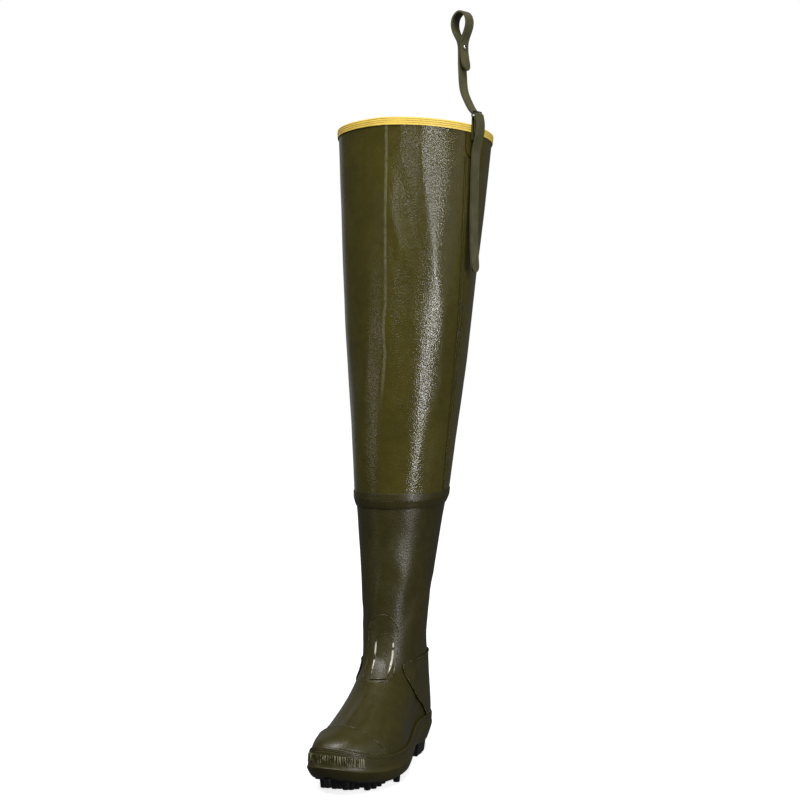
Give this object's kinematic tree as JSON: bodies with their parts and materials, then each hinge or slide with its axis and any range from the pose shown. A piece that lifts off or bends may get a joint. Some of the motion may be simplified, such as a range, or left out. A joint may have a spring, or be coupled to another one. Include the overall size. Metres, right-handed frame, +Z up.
{
  "type": "hip wader",
  "caption": "Thigh-high rubber wader boot with a cleated forefoot, block heel, hollow foot and leg, bound collar and a looped belt strap.",
  "frame": {"origin": "middle of the heel block's ground face", "axes": "the toe points to -Y, the outer side of the foot is +X, +Z is up"},
  "size_m": [0.2106, 0.4035, 0.9616],
  "materials": {
    "black_rubber": "matt",
    "boot_rubber": "satin",
    "shaft_rubber": "semi-gloss, pebbled",
    "yellow_rubber": "satin",
    "strap_rubber": "satin",
    "board": "matt",
    "rivet_metal": "polished",
    "dark_metal": "dark, satin"
  },
  "bodies": {
    "root": {"outsole": "black_rubber", "heel": "black_rubber", "insole": "board", "upper": "boot_rubber", "foxing": "boot_rubber", "toe_cap": "boot_rubber", "counter": "boot_rubber", "ankle_strip": "boot_rubber", "instep_patch": "boot_rubber", "shaft": "shaft_rubber", "knee_band_low": "boot_rubber", "knee_band_high": "boot_rubber", "rim_binding": "yellow_rubber", "seam_tape": "shaft_rubber", "strap_tab": "shaft_rubber", "snap_tab": "shaft_rubber", "snap_stud": "rivet_metal", "strap": "strap_rubber", "strap_rivet": "rivet_metal", "ring_holder": "strap_rubber", "ring": "dark_metal"}
  },
  "joints": []
}
